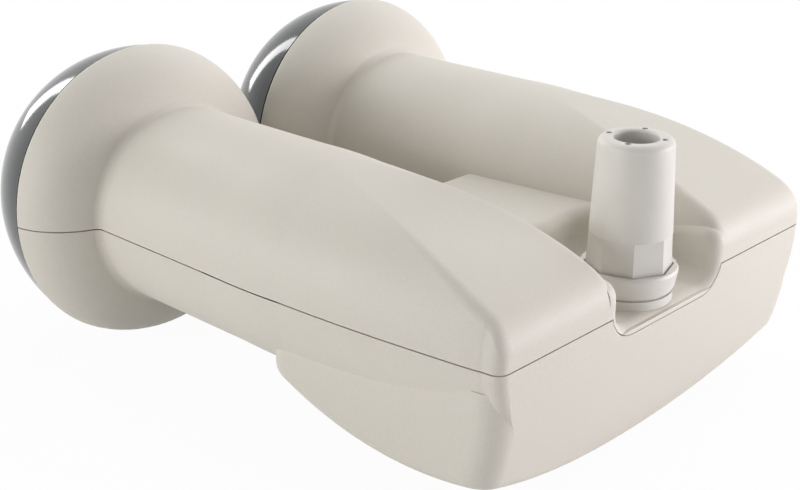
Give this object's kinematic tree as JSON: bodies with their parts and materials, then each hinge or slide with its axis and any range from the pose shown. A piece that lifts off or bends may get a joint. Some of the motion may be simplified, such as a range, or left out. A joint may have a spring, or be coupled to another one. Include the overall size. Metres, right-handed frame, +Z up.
{
  "type": "satellite lnb",
  "caption": "Twin-feed satellite LNB: a moulded two-shell housing with domed feed heads on round necks, a low belly and an upright cable outlet under a pull-off weather boot.",
  "frame": {"origin": "bottom centre of the whole unit", "axes": "+Y from the rear face towards the feed caps, +Z up along the weather boot and the output connector, +X across the two feeds"},
  "size_m": [0.123, 0.137, 0.0623],
  "materials": {
    "housing": "fine matte grain, warm pale grey",
    "boot": "smooth matte, pale grey",
    "cap": "gloss, dark grey",
    "seal": "black rubber",
    "casting": "as cast",
    "steel": "zinc plated",
    "board": "green solder mask",
    "chips": "black moulded packages",
    "plated": "bright nickel plate",
    "contact": "brass",
    "insulator": "white plastic"
  },
  "bodies": {
    "housing": {"upper_cover": "housing", "lower_cover": "housing", "left_feed_cap": "cap", "right_feed_cap": "cap", "left_cap_seal": "seal", "right_cap_seal": "seal", "cast_housing": "casting", "tray_lid": "casting", "lid_gasket": "seal", "lid_screws": "steel", "circuit_board": "board", "board_components": "chips", "left_probes": "contact", "right_probes": "contact", "probe_beads": "insulator", "connector_body": "plated", "connector_insulator": "insulator", "connector_contact": "contact", "connector_seal": "seal", "boot_collar": "boot"},
    "boot": {"weather_boot": "boot"}
  },
  "joints": [
    {"name": "boot_slide", "type": "slide", "parent": "housing", "child": "boot", "axis": [0, 0, 1], "range_m": [0, 0.034]}
  ]
}
